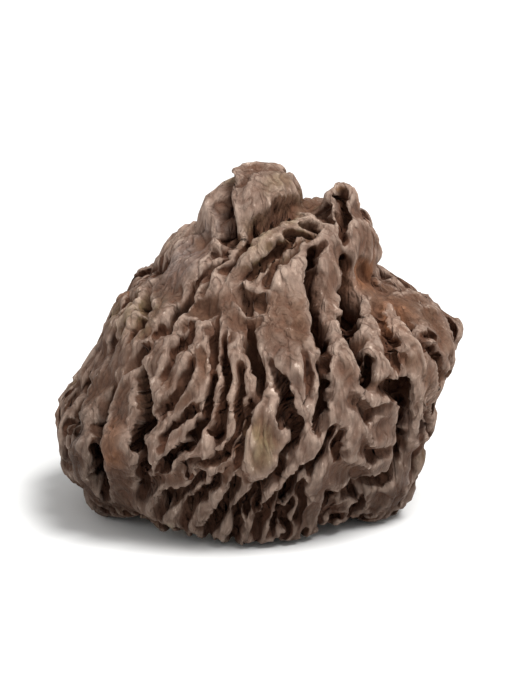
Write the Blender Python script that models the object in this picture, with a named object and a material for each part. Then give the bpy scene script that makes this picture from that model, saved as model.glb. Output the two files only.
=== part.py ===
"""A dried morel mushroom: one closed body of shrunken cap tissue, flat underneath where it rests.

Metres, +Z up. The origin is the middle of the underside. Angles run round the cap: 0 faces -Y, the
front, and 90 faces +X. Heights and half widths are shares of the cap's height and half width.
"""

import math

import bmesh
import bpy

CAP_WIDTH = 0.0420
CAP_DEPTH = 0.0388
CAP_HEIGHT = 0.0360

DOME_HEIGHT = 0.0324  # to the top of the body, from which the knob and the second peak rise

# Going up the dome: height, half width, and how far the cap leans towards +X at that height.
OUTLINE = (
    (0.00, 0.66, -0.04),
    (0.03, 0.76, -0.04),
    (0.10, 0.85, -0.05),
    (0.23, 0.92, -0.06),
    (0.33, 0.93, -0.04),
    (0.47, 0.90, 0.09),
    (0.59, 0.88, 0.14),
    (0.69, 0.75, 0.09),
    (0.77, 0.62, 0.07),
    (0.87, 0.52, 0.10),
    (0.94, 0.42, 0.15),
    (0.98, 0.26, 0.18),
    (1.00, 0.06, 0.20),
)

# The deepest lengthwise slots at the front: angle at the foot, angle at the top, and the heights it spans.
FRONT_SLOTS = (
    (-86, -78, 0.05, 0.47),
    (-66, -70, 0.06, 0.50),
    (-40, -40, 0.05, 0.56),
    (-26, -18, 0.22, 0.70),
    (-32, -52, 0.70, 0.98),
    (-6, 4, 0.11, 0.47),
    (-8, -2, 0.52, 0.81),
    (18, 22, 0.14, 0.52),
    (20, 22, 0.63, 0.94),
    (34, 48, 0.56, 0.98),
    (54, 56, 0.14, 0.50),
    (70, 62, 0.45, 0.74),
)
# The rest of the cap carries slots at an even spacing, each shifted and cut short by its own wave.
REAR_SLOT_COUNT = 13
REAR_START = 84
REAR_END = 262
REAR_FOOT_SHIFT = 3.0  # degrees a slot's foot may stand off the even spacing
REAR_TOP_SHIFT = 7.0  # degrees its top may stand off its foot
REAR_FOOT_HEIGHT = 0.11
REAR_FOOT_SPREAD = 0.06
REAR_TOPS = (0.68, 0.96, 0.86)

SLOT_DEPTH = 0.0034
SLOT_HALF_WIDTH = 0.0013
SLOT_SWAY = 0.0011  # sideways wander of a slot
SLOT_WAVELENGTH = 0.0125  # length of one wander, measured up the cap
SLOT_END = 0.06  # share of the height over which a slot runs out

# Broad swellings round the cap: how many, how strong as a share of the radius, and their turn in degrees.
LOBES = ((2, 0.010, 40), (3, 0.014, 100), (5, 0.012, 15))

# A blunt knob on top with a second, lower peak beside it: rise, x, y, radius, bluntness.
KNOBS = ((0.0040, 0.0004, 0.0, 0.0044, 6), (0.0015, 0.0096, -0.0012, 0.0020, 2))
KNOBS_ABOVE = 0.7  # share of the dome's height above which they rise

SIDES = 112
RINGS = 46
UNDERSIDE_RINGS = 4
SMOOTHING_PASSES = 2  # evens out the slots' walls, which run slantwise over the rings

TISSUE_COLOUR = (0.190, 0.120, 0.088, 1.0)
TISSUE_ROUGHNESS = 0.85


def smooth_read(table, height, column):
    """The table's column at a height, on a smooth curve through its rows."""
    rows = [row[0] for row in table]
    last = len(rows) - 2
    i = max(0, min(last, sum(1 for row in rows if row <= height) - 1))
    before, after = table[i], table[i + 1]
    span = after[0] - before[0]
    t = min(1.0, max(0.0, (height - before[0]) / span))
    slope_before = slope_at(table, i, column) * span
    slope_after = slope_at(table, i + 1, column) * span
    return (
        (2 * t**3 - 3 * t**2 + 1) * before[column]
        + (t**3 - 2 * t**2 + t) * slope_before
        + (3 * t**2 - 2 * t**3) * after[column]
        + (t**3 - t**2) * slope_after
    )


def slope_at(table, i, column):
    low = table[max(0, i - 1)]
    high = table[min(len(table) - 1, i + 1)]
    return (high[column] - low[column]) / (high[0] - low[0])


def rear_slots():
    step = (REAR_END - REAR_START) / (REAR_SLOT_COUNT - 1)
    slots = []
    for i in range(REAR_SLOT_COUNT):
        foot = REAR_START + step * i + REAR_FOOT_SHIFT * math.sin(2.3 * i)
        top = foot + REAR_TOP_SHIFT * math.sin(1.7 * i + 1.0)
        low = REAR_FOOT_HEIGHT + REAR_FOOT_SPREAD * math.sin(2.9 * i)
        high = REAR_TOPS[i % len(REAR_TOPS)]
        slots.append((foot, top, low, high))
    return slots


def fade(height, low, high):
    """1 between the two heights, falling smoothly to 0 past them."""
    rise = min(1.0, max(0.0, (height - low) / SLOT_END + 0.5))
    fall = min(1.0, max(0.0, (high - height) / SLOT_END + 0.5))
    return rise * rise * (3 - 2 * rise) * fall * fall * (3 - 2 * fall)


def slot_cut(angle, height, radius, slots):
    """How deep the slots cut at this angle in degrees and this share of the height."""
    cut = 0.0
    for number, (foot, top, low, high) in enumerate(slots):
        along = (height - low) / (high - low)
        middle = foot + (top - foot) * min(1.0, max(0.0, along))
        wander = SLOT_SWAY * math.sin(2 * math.pi * height * DOME_HEIGHT / SLOT_WAVELENGTH + 2.1 * number)
        turn = (angle - middle + 180) % 360 - 180
        aside = (math.radians(turn) * radius - wander) / SLOT_HALF_WIDTH
        cut = max(cut, fade(height, low, high) * math.exp(-aside * aside))
    return SLOT_DEPTH * cut * min(1.0, radius / (0.5 * CAP_WIDTH) + 0.25)


def lobed(angle):
    return 1 + sum(
        strength * math.cos(math.radians(count * (angle - turn))) for count, strength, turn in LOBES
    )


def surface_point(angle, height, slots):
    """The point of the cap's side at this angle in degrees and this share of the height."""
    half_width = smooth_read(OUTLINE, height, 1)
    lean = smooth_read(OUTLINE, height, 2)
    radius = 0.5 * CAP_WIDTH * half_width * lobed(angle)
    radius -= slot_cut(angle, height, radius, slots)
    x = radius * math.sin(math.radians(angle)) + 0.5 * CAP_WIDTH * lean
    y = -radius * math.cos(math.radians(angle)) * CAP_DEPTH / CAP_WIDTH
    z = DOME_HEIGHT * height
    if height > KNOBS_ABOVE:
        for rise, at_x, at_y, knob_radius, bluntness in KNOBS:
            z += rise * math.exp(-((math.hypot(x - at_x, y - at_y) / knob_radius) ** bluntness))
    return x, y, z


def height_of_ring(ring):
    """Rings stand closer together where the outline bends: at the rim and towards the apex."""
    t = (ring - UNDERSIDE_RINGS) / (RINGS - UNDERSIDE_RINGS)
    eased = 0.5 * (1 - math.cos(math.pi * t))
    return 0.5 * (t + eased)


def fit_to_size(mesh):
    """Gives the cap its exact width, depth and height, centred over the origin with its underside at z = 0."""
    for axis, size in enumerate((CAP_WIDTH, CAP_DEPTH, CAP_HEIGHT)):
        low = min(vertex.co[axis] for vertex in mesh.verts)
        high = max(vertex.co[axis] for vertex in mesh.verts)
        start = 0.0 if axis == 2 else -0.5 * size
        for vertex in mesh.verts:
            vertex.co[axis] = start + (vertex.co[axis] - low) * size / (high - low)


def cap_mesh():
    slots = FRONT_SLOTS + tuple(rear_slots())
    mesh = bmesh.new()
    bmesh.ops.create_uvsphere(mesh, u_segments=SIDES, v_segments=RINGS, radius=1.0)
    for vertex in mesh.verts:
        polar = math.acos(max(-1.0, min(1.0, -vertex.co.z))) / math.pi
        ring = round(polar * RINGS)
        angle = math.degrees(math.atan2(vertex.co.x, -vertex.co.y))
        if ring <= UNDERSIDE_RINGS:
            x, y, _ = surface_point(angle, 0.0, slots)
            share = ring / UNDERSIDE_RINGS
            vertex.co = (x * share, y * share, 0.0)
        else:
            vertex.co = surface_point(angle, height_of_ring(ring), slots)
    side = [vertex for vertex in mesh.verts if vertex.co.z > 0]
    for _ in range(SMOOTHING_PASSES):
        bmesh.ops.smooth_vert(mesh, verts=side, factor=0.5, use_axis_x=True, use_axis_y=True, use_axis_z=True)
    fit_to_size(mesh)
    bmesh.ops.recalc_face_normals(mesh, faces=mesh.faces)
    data = bpy.data.meshes.new("dried_morel")
    mesh.to_mesh(data)
    mesh.free()
    data.shade_smooth()
    return data


def tissue_material():
    material = bpy.data.materials.new("dried_tissue")
    material.use_nodes = True
    shader = material.node_tree.nodes["Principled BSDF"]
    shader.inputs["Base Color"].default_value = TISSUE_COLOUR
    shader.inputs["Roughness"].default_value = TISSUE_ROUGHNESS
    shader.inputs["Metallic"].default_value = 0.0
    return material


def main():
    for item in list(bpy.data.objects):
        bpy.data.objects.remove(item, do_unlink=True)
    morel = bpy.data.objects.new("dried_morel", cap_mesh())
    morel.data.materials.append(tissue_material())
    bpy.context.scene.collection.objects.link(morel)


main()
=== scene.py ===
import math
import time

import bpy
import numpy as np
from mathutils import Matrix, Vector


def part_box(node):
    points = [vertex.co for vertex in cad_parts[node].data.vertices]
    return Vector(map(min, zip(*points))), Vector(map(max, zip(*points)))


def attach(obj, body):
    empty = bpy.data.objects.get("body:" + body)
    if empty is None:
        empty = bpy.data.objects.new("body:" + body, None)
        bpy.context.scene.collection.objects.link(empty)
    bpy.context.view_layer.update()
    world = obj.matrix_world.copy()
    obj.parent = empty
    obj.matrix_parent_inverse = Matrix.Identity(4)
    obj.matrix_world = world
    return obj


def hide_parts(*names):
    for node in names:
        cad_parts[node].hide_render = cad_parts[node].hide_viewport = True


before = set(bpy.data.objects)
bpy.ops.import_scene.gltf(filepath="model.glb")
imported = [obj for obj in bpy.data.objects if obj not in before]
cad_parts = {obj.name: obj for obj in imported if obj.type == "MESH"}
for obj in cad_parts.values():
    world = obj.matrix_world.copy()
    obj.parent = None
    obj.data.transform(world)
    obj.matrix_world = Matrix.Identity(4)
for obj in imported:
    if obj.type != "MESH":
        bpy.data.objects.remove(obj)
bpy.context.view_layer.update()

capLow, capHigh = (np.array(corner) * 1000 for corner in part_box("dried_morel"))
halfWidth, halfDepth = (capHigh[:2] - capLow[:2]) / 2   # millimetres, as all lengths before the studio
capHeight = capHigh[2] - capLow[2]

# The skin of the cap is grown as a closed sheet: it starts on the plump outline of the fresh cap, grows
# more round the cap than up it, and has to buckle into ridges and slots inside the outline as it dries.
capForm = {
    # up the cap from the middle of the cut stem: half width, height, lean towards +X, all as shares
    "outline": [
        (0.00, 0.050, -0.12), (0.10, 0.046, -0.12), (0.17, 0.012, -0.12), (0.24, 0.000, -0.12),
        (0.31, 0.000, -0.12), (0.35, 0.022, -0.11), (0.39, 0.070, -0.08), (0.50, 0.085, -0.06),
        (0.58, 0.045, -0.05), (0.67, 0.010, -0.05), (0.76, 0.030, -0.05), (0.82, 0.090, -0.05),
        (0.87, 0.190, -0.06), (0.90, 0.290, -0.04), (0.88, 0.380, 0.03), (0.86, 0.480, 0.11),
        (0.82, 0.550, 0.13), (0.69, 0.620, 0.09), (0.54, 0.690, 0.07), (0.475, 0.770, 0.12),
        (0.39, 0.835, 0.18), (0.28, 0.864, 0.19), (0.12, 0.874, 0.19), (0.00, 0.876, 0.19)],
    "lobes": [(2, 0.010, 40), (3, 0.014, 100), (5, 0.012, 15)],  # how many, how strong, turned by
    "lobeFade": 1.5,                     # lobes are full where the radius is 1 / this of the half width
    # knobs on top: rise, where, how wide and how blunt
    "knobs": [(4.0, 0.4, 0.0, 4.3, 6), (2.8, 9.6, -1.2, 2.6, 2)],
    # the foot of the cap lifts clear of the cut stem: how far, at which angle, how wide
    "rimLifts": [(2.4, -40, 30), (2.2, 42, 26)],
    "footBack": 1.6, "footSpread": 5.0,  # how far the front foot is drawn in, over what length of skin
    "stemForward": 2.2,                  # the stem leans out to the foot
    "stemEdge": 0.37, "rimEdge": 0.8,    # shares of the half width: where the stem ends, the side begins
    "knobsFrom": 0.6, "knobsOver": 0.2,  # shares of the height: where knobs start, and over how much
    "swellingLift": 0.3,                 # how much of a swelling goes upwards
    "swellingFade": 6, "rimFade": 3,     # both fade out over these depths, where the cap turns to the back
}

# The front is laid out as it is seen from above by the tilt, in degrees: across from the middle of the cap,
# and up from its lowest edge, which is seen that far below the middle of the foot.
frontTilt, frontFoot = 15.0, 3.4
frontFade = (2.5, 0.2)     # how fast it fades into the back, and how much is left edge on
# Slots between the ridges: how deep, how far open, then the way each one runs
frontSlots = [
    # the knob on top and the smooth strip below it
    (2.9, 0.7, (-3, 36.5), (-2.9, 34), (-2.6, 32), (-1.5, 30)),
    (2.0, 0.1, (-2, 30.5), (-4, 28.5), (-5, 26)),
    (3.2, 0.5, (-6, 26), (-7.5, 24), (-9, 21.5)),
    (1.6, 0.1, (-6.5, 32.5), (-8.5, 30), (-10, 28)),
    # slanting ridges from the saddle
    (2.2, 0.1, (5.5, 34), (2, 33), (0, 31.5), (-1, 30), (-2.5, 27.5)),
    (2.0, 0.1, (7, 32), (4, 31), (2, 29), (-0.5, 27)),
    (2.0, 0.1, (5, 30.5), (2.5, 28.5), (1.5, 26)),
    (2.2, 0.4, (-1, 25.5), (1, 24)),
    # second peak
    (2.6, 0.3, (9.5, 36), (9.5, 33), (10, 31)),
    (2.2, 0.5, (6.5, 34), (8.5, 33)),
    # the two long slots and the face beside them
    (3.8, 0.4, (7, 30), (6.5, 27.5), (7, 23.5), (7.5, 20.5)),
    (4.0, 0.4, (10, 28.5), (10.5, 25), (10.5, 22), (11.5, 18.5), (12.5, 16.5)),
    (3.2, 0.4, (7.5, 19), (7.5, 16), (7, 13.5), (7.5, 12)),
    (1.6, 0.1, (5.5, 18.5), (6, 15.5)),
    # wavy ridges in the middle
    (3.0, 0.5, (0, 22.5), (0, 20), (0.5, 18), (1, 16)),
    (2.0, 0.1, (-3.5, 22.5), (-4, 18.5)),
    (2.8, 0.3, (-4, 17.5), (-4.5, 14), (-5.5, 11.5), (-7.5, 9.5), (-9.5, 8)),
    (2.8, 0.1, (-2.5, 21), (-2.5, 18), (-3, 14.5), (-3, 11.5), (-5, 10)),
    (2.2, 0.1, (-1, 18.5), (-1, 15.5), (-1, 13), (-2, 10), (-4.5, 8.5), (-7.5, 7.5)),
    (1.8, 0.1, (-6, 22.5), (-7.5, 19.5), (-9, 17)),
    (2.0, 0.1, (-6, 18.5), (-7.5, 15.5), (-9, 13.5), (-9.5, 12.5)),
    (2.0, 0.1, (-5.5, 14.5), (-8, 12.5), (-9.3, 10.5)),
    # round the flat olive face
    (2.0, 0.1, (1, 16), (0.5, 14.5), (-0.5, 12.5), (-1, 10.5), (-1.5, 8)),
    (2.6, 0.3, (2, 18), (3.5, 15), (4.5, 12.5), (4, 9.5), (2.5, 7), (0.5, 5), (0, 3.5)),
    (2.6, 0.3, (8.5, 11.5), (7, 9), (5.5, 7), (3.5, 5.5), (2, 3.5)),
    (2.0, 0.1, (9.5, 12), (9, 8.5)),
    # hooked slot at the lower right
    (3.8, 0.5, (13.7, 16), (15, 16.3), (15.6, 15), (15.8, 13), (15.6, 10), (14.9, 7.5)),
    (2.0, 0.1, (8.5, 5.3), (11, 5.7), (13.5, 6.6), (15, 7.6)),
    (1.4, 0.1, (11.5, 9.8), (13, 9.2), (14.3, 10)),
    (1.2, 0.1, (10.5, 14.5), (12, 13.5), (13.7, 13.6)),
    # left lobe
    (3.4, 0.2, (-11.2, 17.5), (-10.8, 14.5), (-11.2, 11.5), (-11.2, 8.5), (-10.8, 5.5)),
    (3.6, 0.4, (-14, 15.5), (-15.4, 13), (-15.9, 10.5), (-15.7, 7.5), (-15, 4.5)),
    (3.0, 0.4, (-16.5, 16.5), (-18.4, 13.5), (-19, 10.5), (-18.7, 7.5), (-17.5, 4.5)),
    # foot
    (2.2, 0.1, (-4.5, 7.5), (-7, 5.5), (-9.5, 3.5)),
    (2.2, 0.1, (-2.5, 7), (-5, 5), (-7, 2.5)),
    (2.6, 0.3, (-1, 6.5), (-3, 4), (-4.5, 1)),
    (1.8, 0.1, (-9, 7), (-10.5, 5)),
    (2.2, 0.1, (0.5, 6.5), (-0.5, 4), (-2, 1)),
    (2.2, 0.1, (1.5, 4), (0, 0.5)),
    (2.2, 0.1, (4, 5), (3, 2.5), (2.5, 0.5)),
    (2.2, 0.1, (5.5, 6), (5, 2.5)),
    (2.0, 0.1, (8, 5.5), (8, 2.5)),
    (2.0, 0.1, (11.5, 5), (11, 2.5)),
    # right shoulder
    (1.6, 0.1, (13, 24), (14, 21), (15.5, 18)),
    (1.8, 0.1, (15.5, 23.5), (17, 21), (17.5, 19)),
    (2.0, 0.2, (18, 21.5), (19.5, 19), (19.5, 16.5)),
    (1.2, 0.1, (20.5, 21), (21, 18)),
    (2.0, 0.1, (13, 28), (14, 26)),
    (2.2, 0.2, (18, 14), (18.3, 11), (17.3, 7)),
    # left frill
    (2.2, 0.1, (-9.5, 27.5), (-11, 24.5), (-12, 21)),
    (2.2, 0.1, (-12, 25.5), (-14, 22), (-14.5, 18.5)),
    (1.8, 0.1, (-10.5, 20), (-12.5, 18)),
    (2.0, 0.1, (-15.5, 21), (-17, 18)),
]
slotHold = {
    "width": 0.5,                      # how wide a strip of skin is gathered in
    "sway": 0.25, "swayLength": 3.0, "swaySeed": 61,   # how far slots stray from their ways
    "taper": 2.0, "endDepth": 0.4,     # a slot runs out over this length, to this share of its depth
    "steepest": 0.25,                  # slots on skin that turns away are spread out no more than 1 / this
    "pull": 0.12,                      # how firmly slots are drawn in
    "anchor": 0.03, "looseAnchor": 0.004,   # how firmly the front between them is held, and the rest
}
# Broad swellings of the front: how far out, across, up, radius
swellings = [
    (0.9, 11, 10, 4.5), (0.8, -14, 10.5, 3.0), (0.9, 3.5, 24, 4.0),
    (0.8, -4, 12, 4.5), (0.8, -12, 23, 3.0), (0.8, 16.5, 20, 3.5),
]
# Thin rims that curl forward, given the same way: outside the hooked slot, then the left lobe's crescents
rims = [
    (2.4, 17.8, 15, 1.9), (2.8, 18, 12, 1.9), (2.8, 17.6, 9, 1.9), (2.2, 16.4, 6.3, 1.9),
    (1.2, 14, 4.3, 1.9),
    (1.8, -17.2, 13.5, 1.5), (2.2, -17.6, 10.5, 1.5), (2.0, -17.2, 7.5, 1.5), (1.4, -16, 5, 1.5),
    (1.8, -20, 12.5, 1.6), (2.2, -20.2, 9.5, 1.6), (1.8, -19.5, 6.5, 1.6),
]
# Patches of colour: across, up, radius. The dark spots are partly painted shade, in shaded places between
# folds and low on the cap, and partly darker tissue
tints = {
    "olive": [(1.5, 30, 3.5), (5, 32.5, 2.5), (0.5, 10.5, 2.8), (3, 36, 2), (-12.5, 23.5, 3.5)],
    "rust": [(-14.5, 10.5, 2.8), (12, 27, 2.2), (14.5, 22.5, 2.5)],
    "shadeAndDark": [(-17, 9, 7), (-7, 22, 4.5), (14, 4, 5), (3.5, 37, 2)],
    "cut": [(-8.6, 1.8, 1.1)],
    "pale": [(4, 27, 3), (7, 33, 2.5), (-3.5, 26.5, 1.8)],
    "ash": [(-5, 33, 2.5), (-7.5, 29, 3), (17.8, 12, 2), (16.5, 6.5, 1.5), (-20, 10.5, 1.6),
            (-17.6, 11, 1.2)],
}

growth = {
    "around": 3.2, "along": 1.2,       # how many times longer the skin ends up
    "front": 0.14,                     # share of it on the laid out front, besides the slots
    "patchiness": 0.30, "patchSize": 13.0, "least": 0.25, "most": 1.7,   # patches that grow more and less
    "radiusFrom": 3.0, "radiusOver": 7,    # growth sets in at this radius, over that much more of it
    "skirt": 5.0, "stem": 0.12,            # and over this length above the stem, which hardly grows
    "seed": 5,
}
# The first ripples of the sheet, from which the folds grow
ripples = {
    "height": 0.35, "length": 3.2, "count": 40, "stretch": (1, 1, 5), "seed": 3,
    "sink": 0.4, "slots": 1.2,     # how far in the sheet starts, and how much farther in the slots
}
folding = {
    "skinPull": 0.9, "pushApart": 0.6, "momentum": 0.6, "fastest": 0.25,   # shares in each step of drying
    "grownBy": 0.85,                      # growth ends at this share of a stage's steps
    "slotsEarly": 1.5,                    # slots deepen this much faster than the skin grows
    "proud": 0.25, "proudVaries": 0.5,    # how far ridges may stand out of the outline,
    "proudLength": 5, "proudSeed": 31,    # and over what length that changes
    "pressIn": 0.10, "pressHarder": 1.5,  # how firmly they are pressed back, and how that rises
    "deepest": 6.0, "stemDeepest": 0.3,   # how deep folds may go at most, and on the cut stem
    "inmost": (0.55, 0.6),                # and near the axis: a share of the radius, and this much more
    "slotShare": 0.9, "liftOut": 0.5,     # slots stop at this share of it, and deeper folds are lifted out
    "sideLift": 3.0, "tipLift": 0.7,      # how far above its fresh place the skin may stand
    "tipFrom": 0.8,                       # the tip starts at this share of the height
    "partedBy": 1.8,                      # points nearer than this many gaps along the skin may touch
    "leastGap": 0.85,                     # no gap is less than this share of the spacing
}
# Each stage dries a finer sheet, up to a share of the growth. Then come how stiff the sheet is, how much it
# puffs up, and how far apart it keeps two folds (gap) and the two sides of one fold (wall).
stages = [
    {"spacing": 0.95, "steps": 240, "grown": (0.00, 0.85),
     "stiffness": 0.16, "swell": 0.003, "wall": 1.0, "gap": 0.85},
    {"spacing": 0.62, "steps": 80, "grown": (0.85, 0.90),
     "stiffness": 0.18, "swell": 0.015, "wall": 0.9, "gap": 0.75},
    {"spacing": 0.40, "steps": 34, "grown": (0.90, 0.95),
     "stiffness": 0.14, "swell": 0.008, "wall": 0.75, "gap": 0.6},
]


def smoothCurve(points, perSpan=24):
    p = np.array(points, float)
    start, end = p[1] * (-1, 1, 1), p[-2] * (-1, 1, 1)   # the sheet is closed over both poles
    p = np.vstack([start, p, end])
    t = (np.arange(perSpan) / perSpan)[:, None]
    spans = []
    for a, b, c, d in zip(p[:-3], p[1:-2], p[2:-1], p[3:]):
        spans.append(0.5 * (2 * b + (c - a) * t + (2 * a - 5 * b + 4 * c - d) * t**2
                            + (3 * b - a - 3 * c + d) * t**3))
    return np.vstack(spans + [p[-2:-1]])


curve = smoothCurve(capForm["outline"])
outR = np.maximum(curve[:, 0], 0) * halfWidth
outZ = np.maximum(curve[:, 1], 0) * capHeight
outLean = curve[:, 2] * halfWidth
arc = np.concatenate([[0], np.cumsum(np.hypot(np.diff(outR), np.diff(outZ)))])
skinLength = arc[-1]
rimArc = arc[np.argmax(outR > capForm["rimEdge"] * halfWidth)]     # the underside turns up into the side
stemArc = arc[np.argmax(outR > capForm["stemEdge"] * halfWidth)]   # the outer edge of the cut stem


def capSurface(angle, along):
    r = np.interp(along, arc, outR)
    z = np.interp(along, arc, outZ)
    swell = sum(strength * np.cos(count * (angle - math.radians(turn)))
                for count, strength, turn in capForm["lobes"])
    r = r * (1 + swell * np.clip(capForm["lobeFade"] * r / halfWidth, 0, 1))
    x = r * np.sin(angle) + np.interp(along, arc, outLean)
    y = -r * np.cos(angle) * halfDepth / halfWidth
    y = y - capForm["stemForward"] * np.clip((rimArc - along) / (rimArc - stemArc), 0, 1)
    foot = np.exp(-((along - rimArc) / capForm["footSpread"]) ** 2) * np.clip((along - stemArc) / 2, 0, 1)
    y = y + capForm["footBack"] * foot * np.clip(-y / halfDepth, 0, 1)
    for lift, towards, spread in capForm["rimLifts"]:
        turn = (np.degrees(angle) - towards + 180) % 360 - 180
        z = z + lift * foot * np.exp(-(turn / spread) ** 2)
    top = np.clip((z / capHeight - capForm["knobsFrom"]) / capForm["knobsOver"], 0, 1)
    for rise, atX, atY, spread, blunt in capForm["knobs"]:
        z = z + top * rise * np.exp(-(np.hypot(x - atX, y - atY) / spread) ** blunt)
    points = np.stack([x, y, z], -1)
    tilt = math.radians(frontTilt)
    up = z * math.cos(tilt) + y * math.sin(tilt) + frontFoot
    outwards = np.stack([x / halfWidth, y / halfDepth, 0 * x + capForm["swellingLift"]], -1)
    ahead = np.clip(0.5 - y / capForm["swellingFade"], 0, 1)
    for swell, atX, atUp, radius in swellings:
        bulge = swell * ahead * np.exp(-((x - atX) ** 2 + (up - atUp) ** 2) / radius**2)
        points = points + bulge[..., None] * outwards
    ahead = np.clip(1 - y / capForm["rimFade"], 0, 1)
    for curl, atX, atUp, radius in rims:
        points[..., 1] -= curl * ahead * np.exp(-((x - atX) ** 2 + (up - atUp) ** 2) / radius**2)
    return points


def capNormal(angle, along, step=0.02):
    turned = capSurface(angle + step, along) - capSurface(angle - step, along)
    raised = capSurface(angle, along + step * 10) - capSurface(angle, along - step * 10)
    out = np.cross(turned, raised)
    return out / np.maximum(np.linalg.norm(out, axis=1), 1e-9)[:, None]


def frontView(points, out):
    # across and up as seen from the front, and how far each point looks that way
    tilt = math.radians(frontTilt)
    up = points[:, 2] * math.cos(tilt) + points[:, 1] * math.sin(tilt) + frontFoot
    facing = out[:, 2] * math.sin(tilt) - out[:, 1] * math.cos(tilt)
    steep, edgeOn = frontFade
    return points[:, 0], up, np.clip(steep * facing + edgeOn, 0, 1)


def slotField(points, out):
    # at each point near a front slot: weight, depth and opening of that slot, and the stretch across it
    across, up, facing = frontView(points, out)
    rows = np.flatnonzero(facing > 0.01)
    sway, length, seed = slotHold["sway"], slotHold["swayLength"], slotHold["swaySeed"]
    across = across[rows] + sway * waves(points[rows], length, seed)
    up = up[rows] + sway * waves(points[rows], length, seed + 1)
    nearest = np.full(len(rows), 1e9)
    depth, opening, wayX, wayUp = np.zeros((4, len(rows)))
    for deep, wide, *route in frontSlots:
        route = np.array(route, float)
        runs = np.diff(route, axis=0)
        lengths = np.hypot(runs[:, 0], runs[:, 1])
        passed = 0
        for (x0, up0), (runX, runUp), length in zip(route, runs, lengths):
            share = np.clip(((across - x0) * runX + (up - up0) * runUp) / length**2, 0, 1)
            away = (across - x0 - share * runX) ** 2 + (up - up0 - share * runUp) ** 2
            closer = away < nearest
            nearest[closer] = away[closer]
            done = share[closer] * length
            toEnd = np.minimum(passed + done, lengths.sum() - passed - done)
            taper = np.clip(slotHold["endDepth"] + toEnd / slotHold["taper"], 0, 1)
            depth[closer], opening[closer] = deep * taper, wide * taper
            wayX[closer], wayUp[closer] = runUp / length, -runX / length
            passed += length
    tilt = math.radians(frontTilt)
    width = slotHold["width"]
    cross = np.stack([wayX, wayUp * math.sin(tilt), wayUp * math.cos(tilt)], 1)
    cross -= (cross * out[rows]).sum(1)[:, None] * out[rows]
    lean = np.maximum(np.linalg.norm(cross, axis=1), slotHold["steepest"])
    nearest = nearest / lean**2
    near = facing[rows] * np.exp(-nearest / width**2)
    stretch = np.sqrt((1 + near * 2 * depth / (width * math.sqrt(math.pi))) ** 2 - 1)
    cross *= (stretch / lean)[:, None]
    opening = opening * np.exp(-nearest / (2 * width) ** 2) * facing[rows]
    result = np.zeros((len(points), 6))
    result[rows] = np.column_stack([near, depth, opening, cross])
    return result[:, 0], result[:, 1], result[:, 2], result[:, 3:]


def waves(points, length, seed, count=24, stretch=(1, 1, 1)):
    # smooth noise of one scale, a sum of plane waves, about -1 to 1
    rng = np.random.default_rng(seed)
    k = rng.normal(size=(count, 3))
    k *= (2 * math.pi / length / np.linalg.norm(k, axis=1) * rng.uniform(0.75, 1.3, count))[:, None]
    phase = rng.uniform(0, 2 * math.pi, count)
    return np.cos(points @ (k / np.array(stretch)).T + phase).sum(1) / math.sqrt(count / 2)


def growthRound(along, points, out):
    # how many times longer round the cap the skin grows, besides the front slots
    r = np.interp(along, arc, outR)
    side = np.clip((r - growth["radiusFrom"]) / growth["radiusOver"], 0, 1)
    skirt = np.clip((along - stemArc - 1) / growth["skirt"], 0, 1)
    stem = growth["stem"] * np.clip((stemArc - along) / 2, 0, 1)
    size = growth["patchSize"]
    share = 1 + growth["patchiness"] * (waves(points, size, growth["seed"] + 1)
                                        + 0.6 * waves(points, size / 2, growth["seed"] + 2))
    facing = frontView(points, out)[2]
    share = np.clip(share, growth["least"], growth["most"]) * (1 - facing) + growth["front"] * facing
    return 1 + (growth["around"] - 1) * (side * skirt * share + stem)


def ringSheet(spacing):
    # rings of points up the cap, placed round it so that growth evens them out
    rings = int(round(skinLength / spacing))
    ringAlong = np.linspace(0, skinLength, rings + 1)
    fine = np.linspace(0, 2 * math.pi, 901)     # each ring is measured every 0.4 degrees
    angles = [np.zeros(1)]
    for i in range(1, rings):
        along = np.full(len(fine), ringAlong[i])
        points, out = capSurface(fine, along), capNormal(fine, along)
        run = np.gradient(points, fine, axis=0)
        slots = slotField(points, out)[3]
        even = (run * run).sum(1) * growthRound(along, points, out) ** 2
        pace = np.sqrt(even + (run * slots).sum(1) ** 2)
        measure = np.concatenate([[0], np.cumsum(0.5 * (pace[1:] + pace[:-1]) * np.diff(fine))])
        count = max(7, int(round(measure[-1] / spacing)))
        places = (np.arange(count) + 0.5 * (i % 2)) / count * measure[-1]
        angles.append(np.interp(places, measure, fine))
    angles.append(np.zeros(1))
    counts = np.array([len(a) for a in angles])
    starts = np.concatenate([[0], np.cumsum(counts)[:-1]])
    faces = []
    for i in range(rings):
        lowStart, lowCount, highStart, highCount = starts[i], counts[i], starts[i + 1], counts[i + 1]
        lowAngles = np.append(angles[i], angles[i][0] + 2 * math.pi)
        highAngles = np.append(angles[i + 1], angles[i + 1][0] + 2 * math.pi)
        low = high = 0
        while low < lowCount or high < highCount:
            a, b = lowStart + low % lowCount, highStart + high % highCount
            if high >= highCount or (low < lowCount and lowAngles[low + 1] <= highAngles[high + 1]):
                if lowCount > 1:
                    faces.append((a, lowStart + (low + 1) % lowCount, b))
                low += 1
            else:
                if highCount > 1:
                    faces.append((a, highStart + (high + 1) % highCount, b))
                high += 1
    return {"along": np.repeat(ringAlong, counts), "angle": np.concatenate(angles), "starts": starts,
            "counts": counts, "rings": ringAlong, "faces": np.array(faces)}


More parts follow.
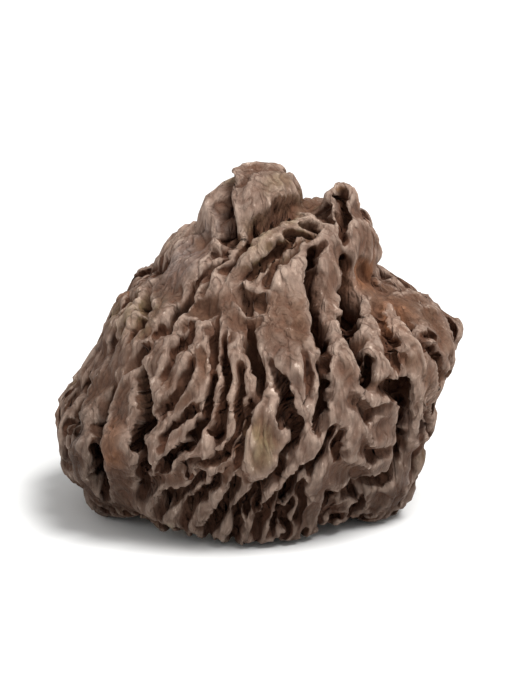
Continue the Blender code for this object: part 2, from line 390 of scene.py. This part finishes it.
def carryOver(old, new, values):
    # read values of the old sheet at the points of the new one
    place = np.interp(new["along"], old["rings"], np.arange(len(old["rings"])))
    ring = np.clip(np.floor(place).astype(int), 0, len(old["rings"]) - 2)
    share = (place - ring)[:, None]

    def readRings(which):
        result = np.zeros((len(which), values.shape[1]))
        for k in np.unique(which):
            here = which == k
            rows = slice(old["starts"][k], old["starts"][k] + old["counts"][k])
            turn = old["angle"][rows]
            turns = np.concatenate([turn - 2 * math.pi, turn, turn + 2 * math.pi])
            for axis in range(values.shape[1]):
                result[here, axis] = np.interp(new["angle"][here], turns, np.tile(values[rows, axis], 3))
        return result

    return readRings(ring) * (1 - share) + readRings(ring + 1) * share


def nearPairs(points, reach):
    # every pair of points closer than reach, found by sorting the points into cubes
    cell = np.floor((points - points.min(0)) / reach).astype(np.int64) + 1
    size = cell.max(0) + 2
    key = (cell[:, 0] * size[1] + cell[:, 1]) * size[2] + cell[:, 2]
    order = np.argsort(key, kind="stable")
    key = key[order]
    placed = points[order]
    rows = np.arange(len(key))
    first, second = [], []
    for dx in (-1, 0, 1):
        for dy in (-1, 0, 1):
            step = (dx * size[1] + dy) * size[2]
            if step < 0:
                continue
            # three cubes in a row along the last axis are one run of keys
            low = np.searchsorted(key, key + step - 1, "left")
            high = np.searchsorted(key, key + step + 1, "right")
            low = np.maximum(low, rows + 1)
            count = np.maximum(high - low, 0)
            before = np.concatenate([[0], np.cumsum(count)[:-1]])
            i = np.repeat(rows, count)
            j = np.repeat(low - before, count) + np.arange(count.sum())
            gap = placed[j] - placed[i]
            close = (gap * gap).sum(1) < reach * reach
            first.append(order[i[close]])
            second.append(order[j[close]])
    return np.concatenate(first), np.concatenate(second)


class Skin:
    def __init__(self, sheet):
        self.sheet = sheet
        self.along, self.angle, self.faces = sheet["along"], sheet["angle"], sheet["faces"]
        self.count = len(self.along)
        f = self.faces
        edges = np.unique(np.sort(np.vstack([f[:, [0, 1]], f[:, [1, 2]], f[:, [2, 0]]]), 1), axis=0)
        source = np.concatenate([edges[:, 0], edges[:, 1]])
        target = np.concatenate([edges[:, 1], edges[:, 0]])
        order = np.argsort(source, kind="stable")
        self.source, self.target = source[order], target[order]
        self.degree = np.bincount(self.source, minlength=self.count)
        self.first = np.concatenate([[0], np.cumsum(self.degree)[:-1]])
        self.fresh = capSurface(self.angle, self.along)
        self.out = self.normals(self.fresh)
        self.radius = np.interp(self.along, arc, outR)
        self.slot, self.slotDepth, self.opening, self.slotStretch = slotField(self.fresh, self.out)
        facing = frontView(self.fresh, self.out)[2]
        self.anchor = slotHold["looseAnchor"] + slotHold["anchor"] * facing * (1 - self.slot)
        grown = self.grown = growthRound(self.along, self.fresh, self.out)
        self.edgeGrowth = 0.5 * (grown[self.source] + grown[self.target])
        run = self.fresh[self.target] - self.fresh[self.source]
        self.freshLength = np.linalg.norm(run, axis=1)
        self.slotExtra = self.acrossSlots(run, self.source, self.target)
        rise = self.along[self.target] - self.along[self.source]
        self.roundShare = np.clip(1 - (rise / self.freshLength) ** 2, 0, 1)

    def frontSpot(self, atX, atUp, radius):
        across, up, facing = frontView(self.fresh, self.out)
        return facing * np.exp(-((across - atX) ** 2 + (up - atUp) ** 2) / radius**2)

    def acrossSlots(self, run, i, j):
        return 0.5 * ((run * self.slotStretch[i]).sum(1) ** 2 + (run * self.slotStretch[j]).sum(1) ** 2)

    def restLengths(self, grown):
        around = 1 + (self.edgeGrowth - 1) * grown
        share = np.clip((self.edgeGrowth - 1) / (growth["around"] - 1), 0, 1)
        along = 1 + (growth["along"] - 1) * grown * share
        even = self.roundShare * around**2 + (1 - self.roundShare) * along**2
        return np.sqrt(self.freshLength**2 * even + self.slotExtra * grown**2)

    def gather(self, values):
        return np.add.reduceat(values, self.first, axis=0)

    def evenOut(self, points):
        return self.gather(points[self.target]) / self.degree[:, None] - points

    def normals(self, points):
        f = self.faces
        a, b, c = points[f[:, 0]], points[f[:, 1]], points[f[:, 2]]
        face = np.cross(b - a, c - a)
        total = np.stack([np.bincount(f.ravel(), weights=np.repeat(face[:, k], 3), minlength=self.count)
                          for k in range(3)], 1)
        return total / np.maximum(np.linalg.norm(total, axis=1), 1e-12)[:, None]

    def skinDistance(self, i, j, grown):
        # how far apart two points are when measured along the skin
        turn = np.abs((self.angle[i] - self.angle[j] + math.pi) % (2 * math.pi) - math.pi)
        around = 1 + (0.5 * (self.grown[i] + self.grown[j]) - 1) * grown
        sideways = around * 0.5 * (self.radius[i] + self.radius[j]) * turn
        even = sideways**2 + (self.along[i] - self.along[j]) ** 2
        return np.sqrt(even + self.acrossSlots(self.fresh[j] - self.fresh[i], i, j) * grown**2)


def spread(pushes, i, j, count):
    # add each pair's push to its two points, and average where a point has several
    moved = np.stack([np.bincount(j, weights=pushes[:, k], minlength=count)
                      - np.bincount(i, weights=pushes[:, k], minlength=count) for k in range(3)], 1)
    touches = np.bincount(i, minlength=count) + np.bincount(j, minlength=count)
    return moved / np.maximum(touches, 1)[:, None]


def dry(skin, points, stage):
    spacing, (grownFrom, grownTo) = stage["spacing"], stage["grown"]
    gap = max(stage["gap"], folding["leastGap"] * spacing)
    wall = max(stage["wall"], folding["leastGap"] * spacing)
    reach = max(gap + 0.6 * skin.opening.max(), wall) + 0.5 * spacing
    ofRadius, more = folding["inmost"]
    limit = np.minimum(folding["deepest"], ofRadius * skin.radius + more)
    limit = np.where(skin.along < stemArc, folding["stemDeepest"], limit)
    uneven = waves(skin.fresh, folding["proudLength"], folding["proudSeed"])
    proud = folding["proud"] + folding["proudVaries"] * uneven
    tip = skin.fresh[:, 2] > folding["tipFrom"] * capHeight
    top = skin.fresh[:, 2] + np.where(tip, folding["tipLift"], folding["sideLift"])
    growing = folding["grownBy"] * stage["steps"]
    speed = np.zeros_like(points)
    for step in range(stage["steps"]):
        grown = grownFrom + (grownTo - grownFrom) * min(1, (step + 1) / growing)
        rest = skin.restLengths(grown)
        if step % 2 == 0:
            out = skin.normals(points)
        if step % 5 == 0:
            i, j = nearPairs(points, reach)
            apart = skin.skinDistance(i, j, grown) > folding["partedBy"] * max(gap, wall)
            i, j = i[apart], j[apart]
            between = points[j] - points[i]
            opened = gap + 0.5 * (skin.opening[i] + skin.opening[j])
            keep = np.where(((out[i] - out[j]) * between).sum(1) > 0, opened, wall)
        run = points[skin.target] - points[skin.source]
        length = np.maximum(np.linalg.norm(run, axis=1), 1e-6)
        pull = skin.gather(run * (1 - rest / length)[:, None])
        move = folding["skinPull"] * pull / skin.degree[:, None]
        move -= stage["stiffness"] * skin.evenOut(skin.evenOut(points))
        away = points - skin.fresh
        height = (away * skin.out).sum(1)
        high, low = np.maximum(height - proud, 0), np.maximum(-limit - height, 0)
        lift = folding["liftOut"] * low - folding["pressIn"] * high * (1 + folding["pressHarder"] * high)
        slotFloor = -np.minimum(skin.slotDepth, folding["slotShare"] * limit)
        slotFloor = slotFloor * min(1, folding["slotsEarly"] * grown)
        lift += slotHold["pull"] * skin.slot**2 * np.minimum(slotFloor - height, 0)
        move += lift[:, None] * skin.out - skin.anchor[:, None] * away + stage["swell"] * out
        between = points[j] - points[i]
        length = np.maximum(np.linalg.norm(between, axis=1), 1e-6)
        tight = length < keep
        push = between[tight] * (folding["pushApart"] * (keep[tight] / length[tight] - 1))[:, None]
        move += spread(push, i[tight], j[tight], skin.count)
        speed = folding["momentum"] * speed + move
        fastest = folding["fastest"] * spacing
        speed *= np.minimum(1, fastest / np.maximum(np.linalg.norm(speed, axis=1), 1e-9))[:, None]
        points = points + speed
        points[:, 2] = np.maximum(points[:, 2], 0)
        points[:, 2] -= 0.5 * np.maximum(points[:, 2] - top, 0)
    return points


def rippled(skin):
    first = waves(skin.fresh, ripples["length"], ripples["seed"], ripples["count"], ripples["stretch"])
    first = ripples["height"] * first - ripples["sink"]
    return skin.fresh + skin.out * (first - ripples["slots"] * skin.slot)[:, None]


def growCap():
    skin = None
    for stage in stages:
        began = time.time()
        finer = Skin(ringSheet(stage["spacing"]))
        if skin is None:
            points = rippled(finer)
        else:
            points = carryOver(skin.sheet, finer.sheet, points)
        skin = finer
        points = dry(skin, points, stage)
        spent = time.time() - began
        print(f"skin of {skin.count} points dried to {stage['grown'][1]:.2f} in {spent:.0f} s")
    return skin, points


# What the tissue's colours, its painted shade and its painted highlight go by, kept on the finished mesh
relief = {
    "deep": 5,                                  # this far inside the outline counts as deepest
    "crestPasses": 14, "crest": 0.5,            # broad crests: passes of smoothing, full height
    "edgePasses": 3, "edge": 0.16,              # sharp edges, the same way
    "shelterReach": 1.6, "shelterFrom": 0.2,    # how far off folds shut a place in, and how nearly ahead
    "slotFrom": 0.3, "slotOver": 1.2, "slotSpread": 0.35,   # slots darken below this depth, over that one
    "stemBlend": (1.2, 1.6),                    # cut tissue starts this far outside the stem, and how wide
    # painted shade at the foot and painted light up the cap, partly the tissue's own darker foot
    "footTone": 0.58, "capTone": 0.46, "tipTone": 0.16,   # lightness of the foot, then what is added
    "capUp": 11, "tipUp": 18,                             # over each of these heights above it
    "leftShade": (0.38, -20, 9, 9), "middleLight": (0.12, -1, 15, 8),   # how much, across, up, radius
    "skinLean": 0.75,                           # how far grain follows the folds
}
# Loose patches of the tints all round: how long, how strong, how rare, how much fainter at the front
patches = {"length": 11, "strength": 0.9, "rare": 0.45, "front": 0.8, "seed": 50}


# used only to lay painted shade where folds shut a place in
def shelter(skin, points, reach):
    # how much of the way out of each point is shut in by other folds, about 0 to 1
    out = skin.normals(points)
    i, j = nearPairs(points, reach)
    between = points[j] - points[i]
    length = np.maximum(np.linalg.norm(between, axis=1), 1e-6)
    near = np.clip(1 - length / reach, 0, 1)
    start = relief["shelterFrom"]
    ahead = np.clip((out[i] * between).sum(1) / length - start, 0, 1) * near
    behind = np.clip(-(out[j] * between).sum(1) / length - start, 0, 1) * near
    total = np.bincount(i, ahead, skin.count) + np.bincount(j, behind, skin.count)
    return total / np.percentile(total, 97)


def crests(skin, points, passes):
    # how far each point stands out of its smoothed surroundings, in millimetres
    smooth = points
    for _ in range(passes):
        smooth = smooth + 0.7 * skin.evenOut(smooth)
    return ((points - smooth) * skin.normals(points)).sum(1)


def shadeAndTone(skin, points):
    # how light the tissue is as a whole, partly its own darker foot and partly painted shade and light: dark
    # at the foot and on the left lobe, lighter up the cap
    up, capUp = points[:, 2], relief["capUp"]
    lightness = relief["footTone"] + relief["capTone"] * np.clip(up / capUp, 0, 1)
    lightness = lightness + relief["tipTone"] * np.clip((up - capUp) / relief["tipUp"], 0, 1)
    shade, *shadeSpot = relief["leftShade"]
    light, *lightSpot = relief["middleLight"]
    return lightness * (1 - shade * skin.frontSpot(*shadeSpot)) * (1 + light * skin.frontSpot(*lightSpot))


def tintMask(skin, spots, seed, loose):
    # the placed spots at the front and, if loose, patches of the same tint over the rest
    facing = frontView(skin.fresh, skin.out)[2]
    mask = np.clip(waves(skin.fresh, patches["length"], seed) * patches["strength"] - patches["rare"], 0, 1)
    mask = mask * (1 - patches["front"] * facing) * loose
    for spot in spots:
        mask = np.maximum(mask, skin.frontSpot(*spot))
    return mask


def meshFrom(skin, points, name):
    low, high = points.min(0), points.max(0)
    points = capLow + (points - low) * (capHigh - capLow) / (high - low)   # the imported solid's box
    mesh = bpy.data.meshes.new(name)
    mesh.from_pydata(points / 1000, [], skin.faces)
    mesh.update()
    height = ((points - skin.fresh) * skin.out).sum(1)
    inSlot = np.clip((-height - relief["slotFrom"]) / relief["slotOver"], 0, 1)
    stemStart, stemOver = relief["stemBlend"]
    values = {
        # depth, shelter and slot lay painted shade in the folds; crest and edge lay painted highlight on
        # ridges and painted shade in hollows
        "depth": np.clip(-height / relief["deep"], 0, 1),
        "crest": np.clip(crests(skin, points, relief["crestPasses"]) / relief["crest"], -1, 1),
        "edge": np.clip(crests(skin, points, relief["edgePasses"]) / relief["edge"], -1, 1),
        "shelter": np.clip(shelter(skin, points, relief["shelterReach"]), 0, 1),
        "stem": np.clip((stemArc + stemStart - skin.along) / stemOver, 0, 1),
        "slot": np.clip(1.2 * skin.slot ** relief["slotSpread"] * inSlot, 0, 1),
        "shadeAndTone": shadeAndTone(skin, points),
    }
    for i, (tint, spots) in enumerate(tints.items()):
        values[tint] = tintMask(skin, spots, patches["seed"] + i, loose=tint != "cut")
    for key, value in values.items():
        attribute = mesh.attributes.new(key, "FLOAT", "POINT")
        attribute.data.foreach_set("value", value.astype(np.float32))
    # the place on the fresh skin, leaning with the folds, so that grain follows the ridges
    layout = relief["skinLean"] * points + (1 - relief["skinLean"]) * skin.fresh
    attribute = mesh.attributes.new("skin", "FLOAT_VECTOR", "POINT")
    attribute.data.foreach_set("vector", layout.astype(np.float32).ravel())
    return mesh


def socket(tree, name, kind, value=None, output=False):
    item = tree.interface.new_socket(name, in_out="OUTPUT" if output else "INPUT", socket_type=kind)
    if value is not None:
        item.default_value = value
    return item


def node(tree, kind, inputs=None, **settings):
    # a node with its settings, and inputs that are values or other nodes' sockets
    made = tree.nodes.new(kind)
    for key, value in settings.items():
        setattr(made, key, value)
    for key, value in (inputs or {}).items():
        if isinstance(value, bpy.types.NodeSocket):
            tree.links.new(value, made.inputs[key])
        else:
            made.inputs[key].default_value = value
    return made


def maths(tree, operation, a, b=0.0):
    return node(tree, "ShaderNodeMath", {0: a, 1: b}, operation=operation).outputs[0]


def times(tree, a, b):
    return maths(tree, "MULTIPLY", a, b)


def stretched(tree, place, by):
    return node(tree, "ShaderNodeVectorMath", {0: place, 1: by}, operation="MULTIPLY").outputs[0]


def noiseAt(tree, place, scale, detail, **more):
    inputs = {"Vector": place, "Scale": scale, "Detail": detail, **more}
    return node(tree, "ShaderNodeTexNoise", inputs).outputs["Fac"]


wrinkles = {
    "Cross Height": 0.20, "Cross Length": 1.9,     # puckers across the ridges
    "Pucker Height": 0.14, "Pucker Length": 3.2,
    "Crease Depth": 0.30, "Crease Length": 1.6, "Crease Width": 0.06,  # fine creases running up the cap
}
creaseForm = {"stretch": (1.0, 1.0, 0.32), "detail": 1.5, "winding": 0.6}
wrinkleKinds = (("Cross", (0.5, 0.5, 1.0), 2.0), ("Pucker", (1.0, 1.0, 0.6), 3.0))   # stretch, detail


def creaseLines(tree, place, length, width):
    # how deep in a fine crease a place on the skin is, 0 to 1: thin winding lines where noise is half way
    place = stretched(tree, place, creaseForm["stretch"])
    scale = maths(tree, "DIVIDE", 1.0, length)
    noise = noiseAt(tree, place, scale, creaseForm["detail"], Distortion=creaseForm["winding"])
    off = maths(tree, "DIVIDE", maths(tree, "ABSOLUTE", maths(tree, "SUBTRACT", noise, 0.5)), width)
    return maths(tree, "EXPONENT", times(tree, times(tree, off, off), -1.0))


def wrinkleTree():
    tree = bpy.data.node_groups.new("skinWrinkles", "GeometryNodeTree")
    socket(tree, "Geometry", "NodeSocketGeometry")
    for key, value in wrinkles.items():
        socket(tree, key, "NodeSocketFloat", value)
    socket(tree, "Material", "NodeSocketMaterial")
    socket(tree, "Geometry", "NodeSocketGeometry", output=True)
    given = tree.nodes.new("NodeGroupInput").outputs
    named = node(tree, "GeometryNodeInputNamedAttribute", {"Name": "skin"}, data_type="FLOAT_VECTOR")
    skinPlace = named.outputs[0]
    lifts = []
    for kind, stretch, detail in wrinkleKinds:
        scale = maths(tree, "DIVIDE", 1.0, given[kind + " Length"])
        noise = noiseAt(tree, stretched(tree, skinPlace, stretch), scale, detail)
        swing = times(tree, maths(tree, "SUBTRACT", noise, 0.5), 2.0)
        lifts.append(times(tree, swing, given[kind + " Height"]))
    crease = creaseLines(tree, skinPlace, given["Crease Length"], given["Crease Width"])
    sink = times(tree, crease, given["Crease Depth"])
    offset = maths(tree, "SUBTRACT", maths(tree, "ADD", *lifts), sink)
    normal = node(tree, "GeometryNodeInputNormal").outputs[0]
    along = node(tree, "ShaderNodeVectorMath", {0: normal, "Scale": times(tree, offset, 0.001)},
                 operation="SCALE").outputs[0]
    shape = given["Geometry"]
    for kind, inputs in (("SetPosition", {"Offset": along}), ("SetShadeSmooth", {"Shade Smooth": True}),
                         ("RealizeInstances", {}), ("SetMaterial", {"Material": given["Material"]})):
        shape = node(tree, "GeometryNode" + kind, {"Geometry": shape, **inputs}).outputs[0]
    tree.links.new(shape, tree.nodes.new("NodeGroupOutput").inputs[0])
    return tree


def applied(obj, tree, material):
    # the tree's result on the object as a plain mesh
    modifier = obj.modifiers.new(tree.name, "NODES")
    modifier.node_group = tree
    for item in tree.interface.items_tree:
        if item.in_out == "INPUT" and item.name == "Material":
            modifier[item.identifier] = material
        elif item.in_out == "INPUT" and item.name in wrinkles:
            modifier[item.identifier] = wrinkles[item.name]
    result = bpy.data.meshes.new_from_object(obj.evaluated_get(bpy.context.evaluated_depsgraph_get()))
    obj.modifiers.remove(modifier)
    obj.data = result


# The pale colours also serve as painted highlight and painted glints, and the slot and brown colours as
# painted shade
tissue = {
    "taupe": (0.156, 0.092, 0.062, 1), "brown": (0.104, 0.055, 0.033, 1),
    "grey": (0.130, 0.090, 0.073, 1), "slot": (0.084, 0.034, 0.018, 1), "paintedGlint": (0.60, 0.49, 0.41, 1),
    "shadeAndDark": (0.062, 0.033, 0.021, 1), "olive": (0.185, 0.135, 0.068, 1), "rust": (0.23, 0.092, 0.038, 1),
    "pale": (0.365, 0.268, 0.212, 1), "ash": (0.240, 0.188, 0.165, 1), "cut": (0.62, 0.50, 0.36, 1),
}
# How much of each placed tint shows, in the order in which they are laid on
tintShare = {"shadeAndDark": 0.6, "olive": 0.8, "rust": 0.8, "pale": 0.7, "ash": 0.7, "cut": 0.8}
# The other layers of colour, with painted highlight on crests, edges and glints and painted shade in
# hollows, shelter and depth: where each sets in, where it is full, and how much of it shows
layers = {
    "taupe": (0.36, 0.66, 1.0), "grey": (0.42, 0.62, 0.5), "crest": (0.10, 0.90, 0.36),
    "edge": (0.30, 0.90, 0.60), "paintedGlint": (0.60, 0.72, 0.55), "paintedGlintEdge": (0.05, 0.60, 1.0),
    "hollowShade": (0.05, 0.60, 0.55), "shelter": (0.08, 0.60, 0.88), "depth": (0.16, 0.60, 0.80),
    "cut": (0.2, 0.6, 1.0),
}
# Noises of the tissue: scale, detail, stretch, roughness
mottles = {
    "broad": (0.07, 3, (1, 1, 1), 0.55), "blotch": (0.30, 5, (1, 1, 1), 0.65),
    "fine": (1.6, 4, (1, 1, 0.5), 0.65), "grain": (7.0, 4, (1, 1, 1), 0.55),
    "fibre": (2.2, 5, (1, 1, 0.35), 0.6),
}
surface = {
    "tintEdge": (0.25, 0.95), "ragged": 1.1,        # how soft and how ragged the placed tints end
    "hairlineLength": 0.9, "hairlineWidth": 0.10,
    "creaseShade": 0.45, "hairlineShade": 0.30, "slotShade": 0.9,
    "span": (0.3, 0.7), "mottle": (0.72, 1.22), "roughness": (0.86, 0.68),   # noise over the span gives both
    "gloss": 0.18,
    "fibreBump": 0.25, "grainBump": 0.06, "creaseBump": 0.12, "hairlineBump": 0.10,   # millimetres
}


def mix(tree, share, low, high, blend="MIX"):
    made = tree.nodes.new("ShaderNodeMix")
    made.data_type = "RGBA"
    made.blend_type = blend
    for key, value in ((0, share), (6, low), (7, high)):
        if isinstance(value, bpy.types.NodeSocket):
            tree.links.new(value, made.inputs[key])
        else:
            made.inputs[key].default_value = value
    return made.outputs[2]


def scaled(tree, value, low, high, atLow, atHigh, way="LINEAR"):
    return node(tree, "ShaderNodeMapRange", {0: value, 1: low, 2: high, 3: atLow, 4: atHigh},
                interpolation_type=way).outputs[0]


def ramp(tree, value, low, high):
    # 0 below low and 1 above high, smoothly between
    return scaled(tree, value, low, high, 0.0, 1.0, "SMOOTHSTEP")


def driedTissue():
    material = bpy.data.materials.new("driedTissue")
    material.use_nodes = True
    tree = material.node_tree
    shader = tree.nodes["Principled BSDF"]
    attr = {key: node(tree, "ShaderNodeAttribute", attribute_name=key).outputs["Fac"]
            for key in ("depth", "crest", "edge", "shelter", "slot", "stem", "shadeAndTone", *tints)}
    skinPlace = node(tree, "ShaderNodeAttribute", attribute_name="skin").outputs["Vector"]

    def noise(name):
        scale, detail, stretch, rough = mottles[name]
        return noiseAt(tree, stretched(tree, skinPlace, stretch), scale, detail, Roughness=rough)

    def layer(value, name):
        low, high, amount = layers[name]
        return times(tree, ramp(tree, value, low, high), amount)

    def laidOn(under, share, colour):
        return mix(tree, share, under, tissue[colour])

    blotch, fine = noise("blotch"), noise("fine")
    crease = creaseLines(tree, skinPlace, wrinkles["Crease Length"], wrinkles["Crease Width"])
    hairline = creaseLines(tree, skinPlace, surface["hairlineLength"], surface["hairlineWidth"])
    colour = mix(tree, layer(blotch, "taupe"), tissue["brown"], tissue["taupe"])
    colour = laidOn(colour, layer(noise("broad"), "grey"), "grey")
    ragged = times(tree, maths(tree, "SUBTRACT", blotch, 0.5), surface["ragged"])
    for tint, share in tintShare.items():
        spot = ramp(tree, maths(tree, "ADD", attr[tint], ragged), *surface["tintEdge"])
        colour = laidOn(colour, times(tree, spot, share), tint)
    # painted highlight: ridges and sharp edges are laid on paler; painted shade: hollows are laid on brown
    colour = laidOn(colour, layer(attr["crest"], "crest"), "pale")
    colour = laidOn(colour, layer(attr["edge"], "edge"), "pale")
    # painted glints: bright specks laid on the sharp edges
    colour = laidOn(colour, times(tree, layer(fine, "paintedGlint"), layer(attr["edge"], "paintedGlintEdge")), "paintedGlint")
    # painted shade: the hollows between ridges are laid on brown
    colour = laidOn(colour, layer(times(tree, attr["crest"], -1.0), "hollowShade"), "brown")
    colour = laidOn(colour, times(tree, crease, surface["creaseShade"]), "slot")
    colour = laidOn(colour, times(tree, hairline, surface["hairlineShade"]), "slot")
    # painted shade: the slot colour laid deep in the folds, where other folds shut a place in, and along the
    # slots
    deep = maths(tree, "MAXIMUM", layer(attr["depth"], "depth"), layer(attr["shelter"], "shelter"))
    deep = maths(tree, "MAXIMUM", deep, times(tree, attr["slot"], surface["slotShade"]))
    colour = laidOn(colour, deep, "slot")
    # painted shade at the foot and on the left lobe and painted light up the cap, with the tissue's own
    # mottle
    mottle = times(tree, scaled(tree, fine, *surface["span"], *surface["mottle"]), attr["shadeAndTone"])
    grey = node(tree, "ShaderNodeCombineColor", {0: mottle, 1: mottle, 2: mottle}).outputs[0]
    colour = mix(tree, 1.0, colour, grey, "MULTIPLY")
    colour = laidOn(colour, times(tree, attr["stem"], layer(blotch, "cut")), "cut")
    tree.links.new(colour, shader.inputs["Base Color"])

    height = times(tree, noise("fibre"), surface["fibreBump"])
    height = maths(tree, "ADD", height, times(tree, noise("grain"), surface["grainBump"]))
    height = maths(tree, "SUBTRACT", height, times(tree, crease, surface["creaseBump"]))
    height = maths(tree, "SUBTRACT", height, times(tree, hairline, surface["hairlineBump"]))
    bump = node(tree, "ShaderNodeBump", {"Height": height, "Distance": 0.001, "Strength": 1.0})
    tree.links.new(bump.outputs[0], shader.inputs["Normal"])
    rough = scaled(tree, blotch, *surface["span"], *surface["roughness"])
    tree.links.new(rough, shader.inputs["Roughness"])
    shader.inputs["Specular IOR Level"].default_value = surface["gloss"]
    return material


def makeCap():
    skin, points = growCap()
    mesh = meshFrom(skin, points, "morelCap")
    cap = bpy.data.objects.new("morelCap", mesh)
    bpy.context.scene.collection.objects.link(cap)
    applied(cap, wrinkleTree(), driedTissue())
    print(f"cap of {len(cap.data.polygons)} faces")
    return cap


def area(name, place, aim, size, power):
    light = bpy.data.lights.new(name, "AREA")
    light.size, light.energy = size, power
    lamp = bpy.data.objects.new(name, light)
    lamp.location = place
    lamp.rotation_euler = (Vector(aim) - Vector(place)).to_track_quat("-Z", "Y").to_euler()
    bpy.context.scene.collection.objects.link(lamp)


# In metres, watts and degrees
studio = {
    "world": 0.58, "backdrop": 1.0,                 # brightness of the surroundings as light, and as seen
    "lights": {                                     # place, size, power
        "keySoft": ((0.39, -0.34, 1.07), 0.56, 17.0),
        "fillSoft": ((-0.83, -0.68, 0.52), 0.78, 1.5),
    },
    "floor": 0.5, "paper": (0.86, 0.86, 0.85, 1), "paperRoughness": 0.9,
}
view = {
    "above": frontTilt, "aim": 0.48,                # down by this angle, at this share of the height
    "frameShare": 0.80, "lens": 300.0, "sensor": 36,   # the cap fills this share of the frame's width
}


def studioStage():
    mesh = bpy.data.meshes.new("floor")
    wide = studio["floor"]
    corners = [(-wide, -wide, 0), (wide, -wide, 0), (wide, wide, 0), (-wide, wide, 0)]
    mesh.from_pydata(corners, [], [(0, 1, 2, 3)])
    floor = bpy.data.objects.new("floor", mesh)
    bpy.context.scene.collection.objects.link(floor)
    paper = bpy.data.materials.new("palePaper")
    paper.use_nodes = True
    shader = paper.node_tree.nodes["Principled BSDF"]
    shader.inputs["Base Color"].default_value = studio["paper"]
    shader.inputs["Roughness"].default_value = studio["paperRoughness"]
    mesh.materials.append(paper)
    world = bpy.data.worlds.new("studio")
    world.use_nodes = True
    tree = world.node_tree
    background = tree.nodes["Background"]
    background.inputs["Color"].default_value = (1, 1, 1, 1)
    # white behind, and a softer white as light
    seen = node(tree, "ShaderNodeLightPath").outputs["Is Camera Ray"]
    strength = scaled(tree, seen, 0.0, 1.0, studio["world"], studio["backdrop"])
    tree.links.new(strength, background.inputs["Strength"])
    bpy.context.scene.world = world
    for name, (place, size, power) in studio["lights"].items():
        area(name, place, (0, 0, capHeight / 2000), size, power)
    bpy.context.scene.view_settings.view_transform = "Standard"
    print(f"floor, backdrop and {len(studio['lights'])} lights set")


def viewCamera():
    camera = bpy.data.cameras.new("camera")
    seat = bpy.data.objects.new("camera", camera)
    bpy.context.scene.collection.objects.link(seat)
    bpy.context.scene.camera = seat
    tilt = math.radians(view["above"])
    aim = Vector((0, 0, capHeight / 1000 * view["aim"]))
    away = Vector((0, -math.cos(tilt), math.sin(tilt)))
    camera.lens = view["lens"]
    camera.sensor_fit = "HORIZONTAL"
    camera.sensor_width = view["sensor"]
    camera.clip_start = 0.01
    shown = 2 * halfWidth / 1000 / view["frameShare"]
    seat.location = aim + away * (shown * camera.lens / camera.sensor_width)
    seat.rotation_euler = (-away).to_track_quat("-Z", "Y").to_euler()


viewCamera()
studioStage()
cap = makeCap()
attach(cap, "root")
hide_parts("dried_morel")
